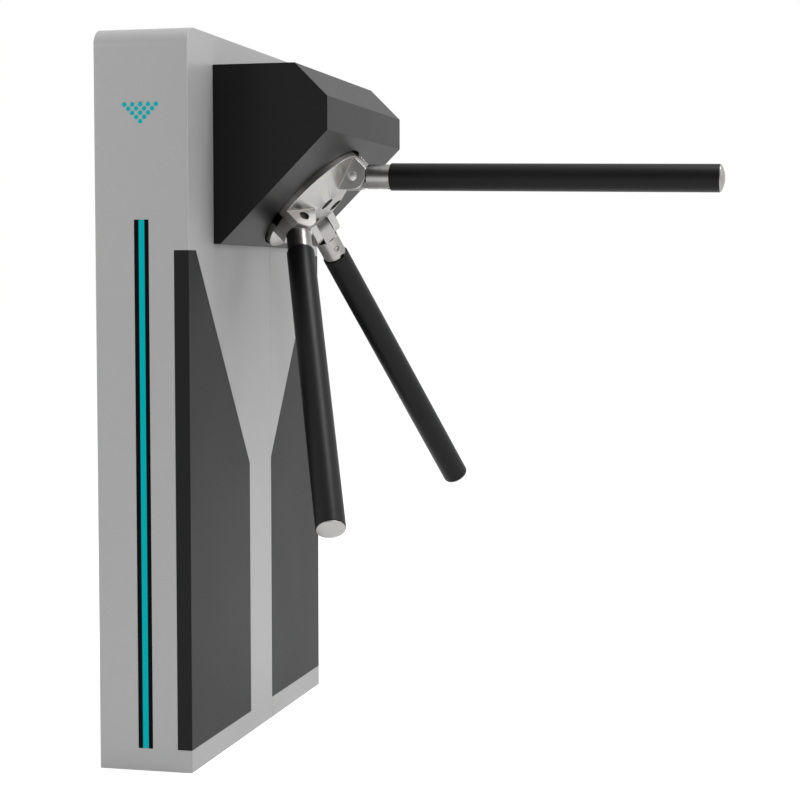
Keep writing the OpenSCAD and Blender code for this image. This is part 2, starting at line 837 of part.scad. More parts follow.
module hub() {
    color([0.74, 0.73, 0.72]) tilted() difference() {
        intersection() {
            union() {
                hub_turned();
                for (k = [0 : 2]) rotate([0, 0, 180 + 120 * k]) {
                    rotate([0, arm_cone, 0]) rotate([90, 0, 0])
                        linear_extrude(2 * ear_half_w, center = true) ear_outline();
                }
            }
            disc(hub_r, hub_back, hub_face + 30);
        }
        for (k = [0 : 2]) rotate([0, 0, 180 + 120 * k]) {
            rotate([90, 0, 0]) linear_extrude(2 * slot_half, center = true) slot_outline(slot_r);
            rotate([0, arm_cone, 0]) translate([0, 0, pivot_at]) rotate([90, 0, 0])
                cylinder(r = pivot_pin_r + seat_play, h = 4 * ear_half_w, center = true);
            rotate([0, 0, 180]) translate([hub_screw_at, 0, 0]) {
                disc(screw_r + seat_play, hub_back - 1, hub_face);
                disc(counterbore_d / 2 + 1, hub_face - screw_head_h - 4, hub_face + 5);
            }
        }
        disc(pilot_r + seat_play, hub_back - 1, hub_back + pilot_h + 0.5);
    }
}

module hub_screws() {
    top = hub_face - 4;
    color([0.12, 0.12, 0.12]) tilted() for (k = [0 : 2]) rotate([0, 0, 120 * k])
        translate([hub_screw_at, 0, 0]) difference() {
            union() {
                disc(screw_head_r, top - screw_head_h, top);
                disc(screw_r, hub_back - shaft_flange_t + 2, top - screw_head_h + 1);
            }
            translate([0, 0, top - 5]) cylinder(r = 4.6, h = 6, $fn = 6);
        }
}

module arm_pivot_pins() {
    dome = 1.8;
    ball = (pivot_pin_r * pivot_pin_r + dome * dome) / (2 * dome);
    color([0.82, 0.81, 0.8]) for (k = [0 : 2]) on_arm(k) translate([0, 0, pivot_at])
        rotate([-90, 0, 0]) difference() {
            union() {
                disc(pivot_pin_r, -ear_half_w + 5, ear_half_w);
                intersection() {
                    translate([0, 0, ear_half_w + dome - ball]) sphere(ball);
                    disc(pivot_pin_r, ear_half_w - 1, ear_half_w + dome + 1);
                }
            }
            translate([0, 0, -ear_half_w + 5 - e]) cylinder(r = 4, h = 6, $fn = 6);
        }
}

module main_shaft() {
    color([0.7, 0.7, 0.72]) tilted() difference() {
        union() {
            disc(pilot_r, hub_back - 1, hub_back + pilot_h);
            disc(shaft_flange_r, hub_back - shaft_flange_t, hub_back);
            disc(shaft_r + 3.5, bearing_fronts[0], hub_back - shaft_flange_t + 1);
            disc(shaft_r, housing_end, bearing_fronts[0] + 1);
            disc(seat_r, lock_back - encoder_boss, housing_end + 1);
            disc(thread_r, lock_back - encoder_boss - nut_t - 2, lock_back - encoder_boss + 1);
        }
        for (k = [0 : 2]) rotate([0, 0, 120 * k]) translate([hub_screw_at, 0, 0])
            disc(screw_r + seat_play, hub_back - shaft_flange_t - 1, hub_back + 1);
    }
}

// Involute gear outline

function involute(a) = tan(a) - a * PI / 180;

function tooth_half_angle(r, teeth, slack) =
    let (rp = gear_module * teeth / 2, rb = rp * cos(20), a = acos(min(1, rb / r)))
    90 / teeth - slack / (4 * rp) * 180 / PI + (involute(20) - involute(a)) * 180 / PI;

function gear_points(teeth, slack) =
    let (
        rp = gear_module * teeth / 2, rb = rp * cos(20), ra = rp + gear_module,
        rf = rp - 1.25 * gear_module, r0 = max(rb, rf), steps = 4
    )
    [for (i = [0 : teeth - 1]) let (mid = 360 * i / teeth) each concat(
        [let (a = mid - tooth_half_angle(r0, teeth, slack)) [rf * cos(a), rf * sin(a)]],
        [for (j = [0 : steps]) let (r = r0 + (ra - r0) * j / steps,
            a = mid - tooth_half_angle(r, teeth, slack)) [r * cos(a), r * sin(a)]],
        [for (j = [steps : -1 : 0]) let (r = r0 + (ra - r0) * j / steps,
            a = mid + tooth_half_angle(r, teeth, slack)) [r * cos(a), r * sin(a)]],
        [let (a = mid + tooth_half_angle(r0, teeth, slack)) [rf * cos(a), rf * sin(a)]]
    )];

module main_gear() {
    web_r = gear_module * gear_teeth / 2 - 10;
    color([0.5, 0.5, 0.52]) tilted() difference() {
        union() {
            translate([0, 0, gear_to]) linear_extrude(gear_w)
                rotate(90) polygon(gear_points(gear_teeth, backlash));
            disc(boss_r, lock_front + 2, housing_end - 0.2);
        }
        disc(seat_r + seat_play, lock_front - 1, housing_end + 1);
        for (a = [0 : 60 : 300]) rotate([0, 0, a + 30]) translate([(web_r + boss_r) / 2, 0, 0])
            disc(9, gear_to - 1, gear_from + 1);
    }
}

module motor_pinion() {
    color([0.5, 0.5, 0.52]) tilted() translate([0, pinion_y, 0]) {
        translate([0, 0, gear_to]) linear_extrude(gear_w)
            rotate(-90 + 180 / pinion_teeth) polygon(gear_points(pinion_teeth, backlash));
        disc(motor_shaft_r, gear_to - 3, housing_end + 30);
    }
}

module lock_disc() {
    color([0.45, 0.45, 0.48]) tilted() difference() {
        union() {
            disc(lock_r, lock_back, lock_front);
            disc(boss_r, lock_back, lock_front + 2);
        }
        disc(seat_r + seat_play, lock_back - 1, lock_front + 3);
        for (a = [0 : 60 : 300]) rotate([0, 0, a])
            block(lock_r - notch_d, lock_r + 5, -notch_w / 2, notch_w / 2, lock_back - 1, lock_front + 1);
    }
}

module encoder_disc() {
    back = lock_back - encoder_boss;
    color([0.2, 0.2, 0.22]) tilted() difference() {
        union() {
            disc(encoder_r, back, back + encoder_t);
            disc(boss_r - 2, back, lock_back);
        }
        disc(seat_r + seat_play, back - 1, lock_back + 1);
        for (a = [0 : 30 : 330]) rotate([0, 0, a])
            block(encoder_r - 9, encoder_r - 3, -3, 3, back - 1, back + encoder_t + 1);
    }
}

module lock_nut() {
    front = lock_back - encoder_boss;
    color([0.75, 0.75, 0.76]) tilted() difference() {
        translate([0, 0, front - nut_t]) cylinder(r = 17, h = nut_t, $fn = 6);
        disc(thread_r + seat_play, front - nut_t - 1, front + 1);
    }
}

// Motor, lock and sensor

module drive_motor() {
    color([0.2, 0.2, 0.22]) tilted() translate([0, pinion_y, 0]) difference() {
        union() {
            disc(motor_r, housing_end, housing_end + 58);
            disc(motor_shaft_r + 3.5, gear_plate_back + 1, housing_end + 1);
        }
        disc(motor_shaft_r + run_play, gear_plate_back, housing_end + 30.5);
    }
}

// One side of the lock as drawn; the other side is its mirror image
module lock_side(exit) {
    tilted() {
        if (exit) mirror([1, 0, 0]) children();
        else children();
    }
}

module pawl(exit) {
    color([0.6, 0.6, 0.63]) lock_side(exit) difference() {
        union() {
            translate([0, 0, lock_back]) linear_extrude(lock_t) {
                translate([pawl_x, pawl_y]) circle(9);
                translate([pawl_x - pawl_w / 2 + 1, pawl_y])
                    square([pawl_w, tooth_y + tooth_w / 2 - pawl_y]);
                translate([tooth_x, tooth_y - tooth_w / 2]) square([pawl_x - tooth_x, tooth_w]);
                translate([pawl_x, pawl_y - 5]) square([pawl_link, 10]);
                translate([pawl_x + pawl_link, pawl_y]) circle(5);
            }
            translate([pawl_x + pawl_link, pawl_y, 0]) disc(link_pin_r, lock_front - e, plunger_depth + 5);
        }
        translate([pawl_x, pawl_y, 0]) disc(post_r + run_play, lock_back - 1, lock_front + 1);
    }
}

module plunger(exit) {
    x = pawl_x + pawl_link;
    color([0.8, 0.8, 0.8]) lock_side(exit) difference() {
        union() {
            block(x - 6, x + 6, fork_from, fork_to, plunger_depth - 4.5, plunger_depth + 4.5);
            translate([x, fork_to - e, plunger_depth]) rotate([-90, 0, 0])
                cylinder(r = plunger_r, h = solenoid_to - 12 - fork_to);
        }
        block(x - link_pin_r - 1, x + link_pin_r + 1, pawl_y - link_pin_r - 0.1,
            pawl_y + link_pin_r + 0.1, plunger_depth - 6, plunger_depth + 6);
    }
}

module lock_solenoids() {
    x = pawl_x + pawl_link;
    color([0.25, 0.3, 0.4]) for (exit = [false, true]) lock_side(exit) difference() {
        block(x - solenoid_w / 2 + 1, x + solenoid_w / 2, solenoid_from, solenoid_to,
            plunger_depth - solenoid_w / 2, gear_plate_back);
        translate([x, solenoid_from - 1, plunger_depth]) rotate([-90, 0, 0])
            cylinder(r = plunger_r + run_play, h = solenoid_to - solenoid_from - 4);
    }
}

spring_r = plunger_r + 1.6;
spring_wire_r = 0.7;
spring_turns = 5;
spring_steps = 12;
spring_sides = 6;

// Points of a coil spring that runs along +z from 0 to l
function spring_ring(i, l) =
    let (n = spring_turns * spring_steps, a = 360 * i / spring_steps,
        z = spring_wire_r + (l - 2 * spring_wire_r) * i / n)
    [for (j = [0 : spring_sides - 1]) let (b = 360 * j / spring_sides,
        r = spring_r + spring_wire_r * cos(b))
        [r * cos(a), r * sin(a), z + spring_wire_r * sin(b)]];

module coil_spring(l) {
    n = spring_turns * spring_steps;
    s = spring_sides;
    polyhedron(
        points = [for (i = [0 : n]) each spring_ring(i, l)],
        faces = concat(
            [[for (j = [0 : s - 1]) j]],
            [for (i = [0 : n - 1], j = [0 : s - 1]) each [
                [i * s + j, (i + 1) * s + j, (i + 1) * s + (j + 1) % s],
                [i * s + j, (i + 1) * s + (j + 1) % s, i * s + (j + 1) % s]
            ]],
            [[for (j = [s - 1 : -1 : 0]) n * s + j]]
        )
    );
}

module plunger_springs() {
    x = pawl_x + pawl_link;
    color([0.8, 0.8, 0.8]) for (exit = [false, true]) lock_side(exit)
        translate([x, fork_to + 0.1, plunger_depth]) rotate([-90, 0, 0])
            coil_spring(solenoid_from - fork_to - 0.2);
}

module position_sensor() {
    slot = lock_back - encoder_boss + encoder_t / 2;
    color([0.12, 0.12, 0.12]) tilted() difference() {
        union() {
            block(-6, 6, -76, -66, slot - 8, gear_plate_back);
            block(-6, 6, -67, -34, slot - 8, slot - 2);
            block(-6, 6, -67, -encoder_r - 2, slot - 3, slot + 3);
            block(-6, 6, -67, -lock_r - 2, slot + 2, slot + 4.5);
            block(-6, 6, -lock_r - 3, -34, slot + 2, slot + 3.4);
        }
    }
}

// Electrics behind the service door

module equipment_plate() {
    color([0.8, 0.8, 0.8]) block(plate_face_x, plate_face_x + equipment_t, -equipment_half_l,
        equipment_half_l, equipment_low_z, equipment_low_z + equipment_h);
}

plate_face_x = side_x - wall - post_x - equipment_t;

module control_board() {
    z0 = board_low_z;
    x1 = plate_face_x - 8;
    color([0.1, 0.35, 0.2]) {
        block(x1 - 1.6, x1, -90, 80, z0, z0 + 110);
        for (y = [-84, 74], z = [z0 + 6, z0 + 104])
            translate([x1 - e, y, z]) rotate([0, 90, 0]) cylinder(r = 3, h = 8 + e, $fn = 24);
        for (y = [-80 : 22 : 52]) block(x1 - 12, x1 - 1.6 + e, y, y + 18, z0 + 92, z0 + 104);
        for (y = [-70, -40, -10]) block(x1 - 17, x1 - 1.6 + e, y, y + 20, z0 + 62, z0 + 78);
        block(x1 - 5, x1 - 1.6 + e, 10, 40, z0 + 30, z0 + 60);
        for (y = [-75 : 12 : -15]) translate([x1 - 1.6 + e, y, z0 + 25]) rotate([0, -90, 0])
            cylinder(r = 4, h = 11, $fn = 24);
    }
}

module power_supply() {
    z0 = supply_low_z;
    x0 = plate_face_x - 38;
    color([0.7, 0.7, 0.72]) difference() {
        block(x0, plate_face_x, -100, 80, z0, z0 + 98);
        block(x0 - 1, x0 + 12, -101, -84, z0 + 4, z0 + 94);
        for (y = [-60 : 12 : 60], z = [z0 + 20 : 12 : z0 + 80])
            translate([x0 - 1, y, z]) rotate([0, 90, 0]) cylinder(r = 3, h = 3, $fn = 6);
    }
}

// Service door on the side away from the passage

// Leaf and knuckles of both hinges; part is 0 for the cabinet side and 1 for the door side
module hinge_half(part) {
    knuckle = hinge_l / 5;
    for (z = hinge_zs) difference() {
        union() {
            block(-side_x - hinge_leaf_t, -side_x, part == 0 ? hinge_y - hinge_leaf_w : hinge_y + 0.5,
                part == 0 ? hinge_y - 0.5 : hinge_y + hinge_leaf_w, z, z + hinge_l);
            for (i = [part : 2 : 4]) translate([0, 0, z + i * knuckle + 0.2]) {
                translate([hinge_x, hinge_y, 0]) cylinder(r = knuckle_r, h = knuckle - 0.4);
                block(hinge_x, -side_x, part == 0 ? hinge_y - knuckle_r : hinge_y,
                    part == 0 ? hinge_y : hinge_y + knuckle_r, 0, knuckle - 0.4);
            }
        }
        translate([hinge_x, hinge_y, z - 1]) cylinder(r = hinge_pin_r + run_play, h = hinge_l + 2);
        // Room for the other half's knuckles
        for (i = [1 - part : 2 : 4]) translate([hinge_x, hinge_y, z + i * knuckle - 0.2])
            cylinder(r = knuckle_r + 0.4, h = knuckle + 0.4);
    }
}

module hinge_leaves() {
    color([0.75, 0.75, 0.76]) hinge_half(0);
}

module hinge_pins() {
    color([0.75, 0.75, 0.76]) for (z = hinge_zs) translate([hinge_x, hinge_y, z - 2]) {
        cylinder(r = hinge_pin_r, h = hinge_l + 4);
        translate([0, 0, hinge_l + 2.2]) cylinder(r = knuckle_r - 0.5, h = 2);
    }
}

module service_door() {
    color([0.7, 0.7, 0.7]) difference() {
        union() {
            block(-side_x, -side_x + wall, door_edge_y + door_gap, door_edge_y + door_l - door_gap,
                door_low_z + door_gap, door_low_z + door_h - door_gap);
            hinge_half(1);
        }
        translate([-side_x - 1, lock_y, lock_z]) rotate([0, 90, 0])
            cylinder(r = lock_body_r + seat_play, h = wall + 2);
    }
}

module door_lock_body() {
    color([0.78, 0.78, 0.78]) translate([0, lock_y, lock_z]) rotate([0, 90, 0]) difference() {
        union() {
            disc(lock_body_r + 2.6, -side_x - 2, -side_x);
            disc(lock_body_r, -side_x - 1, cam_x - cam_gap / 2);
            translate([0, 0, -side_x + wall]) cylinder(r = lock_nut_r, h = 4, $fn = 6);
        }
        disc(lock_plug_r + run_play, -side_x - 3, cam_x);
    }
}

module door_lock_plug() {
    color([0.65, 0.65, 0.65]) translate([0, lock_y, lock_z]) rotate([0, 90, 0]) difference() {
        union() {
            disc(lock_plug_r, -side_x - 2, cam_x + 1);
            translate([0, 0, cam_x]) linear_extrude(cam_t) {
                circle(8);
                translate([-cam_l + 6, -6]) square([cam_l - 6, 12]);
                translate([-cam_l + 6, 0]) circle(6);
            }
            disc(4, cam_x, cam_x + cam_t + 3);
        }
        block(-4.5, 4.5, -0.8, 0.8, -side_x - 3, -side_x + 4);
    }
}

// Arms

// Seen along the pivot: x away from the hub's axis, y along the arm
module tongue_outline() {
    translate([0, pivot_at]) circle(slot_r - 1.4);
    translate([-slot_r + 1.4, pivot_at]) square([2 * slot_r - 2.8, collar_from - pivot_at + 2]);
    translate([0, pivot_at]) square([40, ear_top - pivot_at]);
}

module arm_root(k) {
    low = hub_rim + 0.8;
    color([0.74, 0.73, 0.72]) on_arm(k) difference() {
        union() {
            intersection() {
                rotate([90, 0, 0]) linear_extrude(tongue_t, center = true) tongue_outline();
                // The tongue ends flush with the hub's rim
                rotate([0, -arm_cone, 0]) union() {
                    disc(hub_r - 0.3, low, hub_face + 30);
                    disc(pivot_at * sin(arm_cone) + 4, hub_back, low + 1);
                }
            }
            disc(collar_d / 2, collar_from, tube_from - 0.3);
            disc(arm_r - arm_wall - seat_play, tube_from - 1, tube_from + spigot_l);
        }
        translate([0, 0, pivot_at]) rotate([90, 0, 0])
            cylinder(r = pivot_pin_r + run_play, h = 2 * tongue_t, center = true);
        translate([0, 0, (collar_from + tube_from) / 2]) rotate([0, -90, 0])
            translate([0, 0, collar_d / 2 - 8]) cylinder(d = set_screw_d + 2 * seat_play, h = 12);
        // Small notch in the collar's outer end
        translate([-collar_d / 2, 2, tube_from]) rotate([0, 90, 0]) cylinder(r = 4, h = 6, center = true);
    }
}

module arm_set_screw(k) {
    color([0.5, 0.5, 0.5]) on_arm(k) translate([0, 0, (collar_from + tube_from) / 2])
        rotate([0, -90, 0]) translate([0, 0, collar_d / 2 - 8]) difference() {
            cylinder(d = set_screw_d, h = 7.4);
            translate([0, 0, 4.5]) cylinder(r = 2.3, h = 4, $fn = 6);
        }
}

module arm_tube(k) {
    color([0.13, 0.13, 0.13]) on_arm(k) ring(arm_r, arm_r - arm_wall, tube_from, tube_to);
}

module arm_cap(k) {
    edge_r = arm_r - 0.8;
    ball = (edge_r * edge_r + cap_dome_h * cap_dome_h) / (2 * cap_dome_h);
    top = tube_to + cap_edge_t;
    color([0.74, 0.73, 0.72]) on_arm(k) {
        disc(edge_r, tube_to, top);
        disc(arm_r - arm_wall - seat_play, tube_to - 14, tube_to + 1);
        intersection() {
            translate([0, 0, top + cap_dome_h - ball]) sphere(ball);
            disc(edge_r, top - 1, top + cap_dome_h + 1);
        }
    }
}

base_plate();
support_frame();
front_shell();
rear_shell();
side_panel(false);  // front_side_panel
side_panel(true);  // rear_side_panel
light_channel(false);  // front_light_channel
light_channel(true);  // rear_light_channel
light_diffuser(false);  // front_light_diffuser
light_diffuser(true);  // rear_light_diffuser
light_boards();
indicator_lens(false);  // front_indicator_lens
indicator_lens(true);  // rear_indicator_lens
indicator_boards();
hood_shell();
hood_screws();
mechanism_bracket();
bracket_bolts();
bearing_housing();
bearing_outer_races();
gear_plate();
plate_pillars();
drive_motor();
lock_solenoids();
plunger_springs();
position_sensor();
equipment_plate();
control_board();
power_supply();
hinge_leaves();
hinge_pins();
hub();
hub_screws();
main_shaft();
bearing_inner_races();
main_gear();
lock_disc();
encoder_disc();
lock_nut();
arm_pivot_pins();
arm_root(0);  // arm_1_root
arm_tube(0);  // arm_1_tube
arm_cap(0);  // arm_1_cap
arm_set_screw(0);  // arm_1_set_screw
arm_root(1);  // arm_2_root
arm_tube(1);  // arm_2_tube
arm_cap(1);  // arm_2_cap
arm_set_screw(1);  // arm_2_set_screw
arm_root(2);  // arm_3_root
arm_tube(2);  // arm_3_tube
arm_cap(2);  // arm_3_cap
arm_set_screw(2);  // arm_3_set_screw
motor_pinion();
pawl(false);  // entry_pawl
pawl(true);  // exit_pawl
plunger(false);  // entry_plunger
plunger(true);  // exit_plunger
service_door();
door_lock_body();
door_lock_plug();
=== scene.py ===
import json
import math

import bmesh
import bpy
from mathutils import Matrix, Vector

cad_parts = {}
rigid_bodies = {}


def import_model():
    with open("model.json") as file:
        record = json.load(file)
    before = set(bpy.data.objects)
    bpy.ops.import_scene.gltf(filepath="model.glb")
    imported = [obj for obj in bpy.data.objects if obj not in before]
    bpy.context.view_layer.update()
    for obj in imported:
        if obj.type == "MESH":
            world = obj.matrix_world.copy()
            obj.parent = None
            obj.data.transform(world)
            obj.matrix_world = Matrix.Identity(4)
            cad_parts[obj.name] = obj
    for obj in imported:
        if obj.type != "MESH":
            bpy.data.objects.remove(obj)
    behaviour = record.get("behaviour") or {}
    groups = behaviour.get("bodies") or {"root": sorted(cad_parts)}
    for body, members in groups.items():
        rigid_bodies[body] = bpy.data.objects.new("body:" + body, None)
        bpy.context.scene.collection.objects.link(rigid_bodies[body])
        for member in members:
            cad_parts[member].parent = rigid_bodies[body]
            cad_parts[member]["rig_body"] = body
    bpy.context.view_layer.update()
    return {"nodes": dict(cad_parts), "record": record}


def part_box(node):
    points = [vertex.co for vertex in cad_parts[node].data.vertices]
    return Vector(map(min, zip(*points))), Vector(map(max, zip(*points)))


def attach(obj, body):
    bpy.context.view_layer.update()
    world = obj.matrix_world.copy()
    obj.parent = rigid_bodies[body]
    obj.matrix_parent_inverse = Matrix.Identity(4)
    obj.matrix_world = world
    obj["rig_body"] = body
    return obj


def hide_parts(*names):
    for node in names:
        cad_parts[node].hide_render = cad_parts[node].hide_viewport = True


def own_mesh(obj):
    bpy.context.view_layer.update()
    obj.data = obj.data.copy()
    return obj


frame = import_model()
mm = 0.001
slotOf = {part["node"]: part["material_slot"] for part in frame["record"]["subparts"]}
bodyOf = {name: node["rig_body"] for name, node in frame["nodes"].items()}
print("frame loaded,", len(bodyOf), "nodes")

# The photograph's viewpoint: place and clipping in metres, angles in degrees, lens and sensor in millimetres
view = {
    "place": (0.9476, -2.7249, 0.647), "yaw": 13.878, "pitch": 3.407, "roll": -0.066,
    "lens": 88.49, "sensor": 36, "near": 0.05, "far": 100,
}


def aimCamera():
    yaw, pitch, roll = (math.radians(view[k]) for k in ("yaw", "pitch", "roll"))
    ahead = Vector((-math.sin(yaw) * math.cos(pitch), math.cos(yaw) * math.cos(pitch), -math.sin(pitch)))
    right = Vector((math.cos(yaw), math.sin(yaw), 0))
    up = right.cross(ahead)
    turnedRight = math.cos(roll) * right + math.sin(roll) * up
    turnedUp = -math.sin(roll) * right + math.cos(roll) * up
    data = bpy.data.cameras.new("camera")
    data.lens, data.sensor_width = view["lens"], view["sensor"]
    data.clip_start, data.clip_end = view["near"], view["far"]
    camera = bpy.data.objects.new("camera", data)
    bpy.context.scene.collection.objects.link(camera)
    rows = Matrix((turnedRight, turnedUp, -ahead)).transposed().to_4x4()
    camera.matrix_world = Matrix.Translation(view["place"]) @ rows
    bpy.context.scene.camera = camera


aimCamera()
print("camera aimed")

# The arms' axes meet at the apex, in metres, on the hub's axis; angles in degrees, pivots in millimetres
hub = {"apex": (0.115, 0, 0.8), "tilt": 135, "cone": 44, "firstArm": 60, "nextArm": 120, "pivotAt": 95}


def armPlace(number, along=0, turn=0, axis="X"):
    # An arm's own frame has its z axis along the arm; a local turn may follow at a distance along it
    frames = (Matrix.Translation(hub["apex"]), Matrix.Rotation(math.radians(hub["tilt"]), 4, "Y"),
              Matrix.Rotation(math.radians(hub["firstArm"] + hub["nextArm"] * number), 4, "Z"),
              Matrix.Rotation(math.radians(hub["cone"]), 4, "Y"),
              Matrix.Translation((0, 0, along * mm)), Matrix.Rotation(math.radians(turn), 4, axis))
    place = Matrix()
    for step in frames:
        place = place @ step
    return place


class Link:
    # An output socket; sums and products of it add Math nodes
    def __init__(self, paint, socket):
        self.paint = paint
        self.socket = socket

    def maths(self, operation, first, second=0.0, clamp=False):
        settings = {"operation": operation, "use_clamp": clamp}
        return self.paint.node("ShaderNodeMath", settings, {0: first, 1: second})

    def __add__(self, other):
        return self.maths("ADD", self, other)

    def __mul__(self, other):
        return self.maths("MULTIPLY", self, other)

    def __sub__(self, other):
        return self.maths("SUBTRACT", self, other)

    def __rsub__(self, other):
        return self.maths("SUBTRACT", other, self)

    def __pow__(self, other):
        return self.maths("POWER", self, other)

    def between(self, low, high):
        # 0 below low, 1 above high, smooth in between
        settings = {"interpolation_type": "SMOOTHSTEP", "clamp": True}
        return self.paint.node("ShaderNodeMapRange", settings, {0: self, 1: low, 2: high, 3: 0.0, 4: 1.0})

    def clamped(self):
        return self.maths("ADD", self, 0.0, clamp=True)


class Paint:
    # Writes the nodes of one material, or of the world
    def __init__(self, owner):
        owner.use_nodes = True
        self.owner = owner
        self.tree = owner.node_tree
        self.place = None

    def put(self, socket, value):
        if isinstance(value, Link):
            self.tree.links.new(value.socket, socket)
        elif hasattr(value, "__len__") and len(value) == 3 and socket.type == "RGBA":
            socket.default_value = (*value, 1.0)
        else:
            socket.default_value = value

    def node(self, kind, settings=None, inputs=None, output=0):
        made = self.tree.nodes.new(kind)
        for key, value in (settings or {}).items():
            setattr(made, key, value)
        for key, value in (inputs or {}).items():
            self.put(made.inputs[key], value)
        return None if output is None else Link(self, made.outputs[output])

    def mapped(self, fine=(1, 1, 1), turn=(0, 0, 0), centre=(0, 0, 0)):
        # Object coordinates in a frame turned by degrees about its centre, then multiplied by fine, which so
        # counts the cells of a noise per metre
        if self.place is None:
            self.place = self.node("ShaderNodeTexCoord", output="Object")
        return self.node("ShaderNodeMapping", {"vector_type": "TEXTURE"}, {
            "Vector": self.place, "Location": centre, "Rotation": [math.radians(a) for a in turn],
            "Scale": [1 / f for f in fine]})

    def noise(self, where, detail=3.0, roughness=0.55):
        return self.node("ShaderNodeTexNoise", None, {
            "Vector": where, "Scale": 1.0, "Detail": detail, "Roughness": roughness})

    def axis(self, name, where=None):
        return self.node("ShaderNodeSeparateXYZ", None, {0: where or self.mapped()}, output=name)

    def mixed(self, factor, first, second):
        return self.node("ShaderNodeMix", {"data_type": "RGBA"}, {0: factor, 6: first, 7: second}, output=2)

    def bump(self, height, depth, strength):
        made = self.node("ShaderNodeBump", None, {
            "Height": height, "Distance": depth * mm, "Strength": strength})
        self.put(self.tree.nodes["Principled BSDF"].inputs["Normal"], made)

    def finish(self, **sockets):
        surface = self.tree.nodes["Principled BSDF"]
        for key, value in sockets.items():
            self.put(surface.inputs[key.replace("_", " ")], value)
        return self.owner


def newPaint(name):
    return Paint(bpy.data.materials.new(name))


def camelName(name):
    # front_shell becomes frontShell; a one-word name gets a second word, so that it differs from its node's
    words = name.split("_")
    return words[0] + ("".join(w.capitalize() for w in words[1:]) or "Body")


def shade(colour, factor):
    return tuple(min(1.0, c * factor) for c in colour)


# In the finishes a noise lies round 0.5; its factor is its share, and the constant beside it holds the mean
def sheetFinish(name, look):
    # Satin steel sheet: a fine even grain, and a slow drift of tone over the panels
    paint = newPaint(name)
    fine = paint.noise(paint.mapped((900, 900, 900)), detail=2)
    soft = paint.noise(paint.mapped((3.1, 3.1, 2.3)), detail=2)
    grain = look["grain"]
    tone = fine * grain + soft * 0.05 + (0.475 - grain / 2)
    paint.bump(fine, 0.03, 0.35)
    return paint.finish(
        Base_Color=paint.mixed(tone, shade(look["colour"], 0.88), shade(look["colour"], 1.12)),
        Metallic=look["metallic"], Roughness=soft * 0.08 + fine * 0.06 + (look["rough"] - 0.07))


def coatFinish(name, look):
    # Paint or powder coat: fine orange peel, with dust towards the floor where asked
    paint = newPaint(name)
    peel = paint.noise(paint.mapped((420, 420, 420)), detail=2)
    soft = paint.noise(paint.mapped((5, 5, 4)), detail=3)
    base = paint.mixed(soft * 0.5 + peel * 0.3 + 0.1, shade(look["colour"], 0.8), shade(look["colour"], 1.25))
    if look.get("dust"):
        low = 1 - paint.axis("Z").between(0.0, 0.12)
        base = paint.mixed(low * soft * look["dust"], base, (0.35, 0.34, 0.32))
    paint.bump(peel, 0.04, look.get("peel", 0.3))
    return paint.finish(Base_Color=base, Roughness=soft * 0.1 + peel * 0.06 + (look["rough"] - 0.08),
                        Specular_IOR_Level=look.get("gloss", 0.4))


def metalFinish(name, look):
    # Bare metal with fine lines: straight ones along a direction, or rings round the frame's own z axis
    paint = newPaint(name)
    count = look.get("lines", 1400)
    if look.get("rings"):
        own = paint.mapped((1, 1, 1), look.get("turn", (0, 0, 0)), look.get("centre", (0, 0, 0)))
        across, sideways, along = (paint.axis(k, own) for k in "XYZ")
        radius = (across * across + sideways * sideways) ** 0.5
        drift = 30  # slow change of tone across the rings
        where = paint.node("ShaderNodeCombineXYZ", None, {
            0: radius * count, 1: along * count, 2: across * drift})
    else:
        where = paint.mapped([count * a for a in look.get("along", (1, 1, 1))], look.get("turn", (0, 0, 0)))
    lines = paint.noise(where, detail=4, roughness=0.7)
    soft = paint.noise(paint.mapped((40, 40, 40)), detail=2)
    tone = (lines * 0.7 + soft * 0.3).between(0.3, 0.7)
    paint.bump(lines, 0.02, look.get("depth", 0.35))
    spread = look.get("spread", 0.08)
    return paint.finish(
        Base_Color=paint.mixed(tone, shade(look["colour"], 1 - spread), shade(look["colour"], 1 + spread)),
        Metallic=look.get("metallic", 1.0), Roughness=lines * 0.16 + soft * 0.08 + (look["rough"] - 0.12),
        Specular_Tint=(*(look.get("edgeTone", 1.0),) * 3, 1.0))


def plasticFinish(name, look):
    # Moulded plastic or cast metal with fine pores
    paint = newPaint(name)
    grain = look.get("grain", 700)
    pores = paint.node("ShaderNodeTexVoronoi", None, {"Vector": paint.mapped((grain,) * 3), "Scale": 1.0})
    soft = paint.noise(paint.mapped((12, 12, 12)), detail=2)
    paint.bump(pores, 0.04, look.get("texture", 0.5))
    tone = paint.mixed(soft * 0.6 + pores * 0.3, shade(look["colour"], 0.85), shade(look["colour"], 1.3))
    return paint.finish(Base_Color=tone, Roughness=soft * 0.12 + pores * 0.06 + (look["rough"] - 0.08),
                        Specular_IOR_Level=look.get("gloss", 0.4))


def litFinish(name, look):
    # Frosted diffuser that glows
    paint = newPaint(name)
    cells = paint.noise(paint.mapped((60, 60, 60)), detail=1)
    frost = paint.noise(paint.mapped((1500, 1500, 1500)), detail=1)
    glow = paint.mixed(cells * 0.5 + 0.25, shade(look["colour"], 0.97), shade(look["colour"], 1.03))
    paint.bump(frost, 0.02, 0.3)
    return paint.finish(
        Base_Color=paint.mixed(frost, shade(look["colour"], 0.03), shade(look["colour"], 0.06)),
        Specular_IOR_Level=look["gloss"], Emission_Color=glow, Emission_Strength=look["strength"],
        Roughness=frost * 0.1 + 0.25)


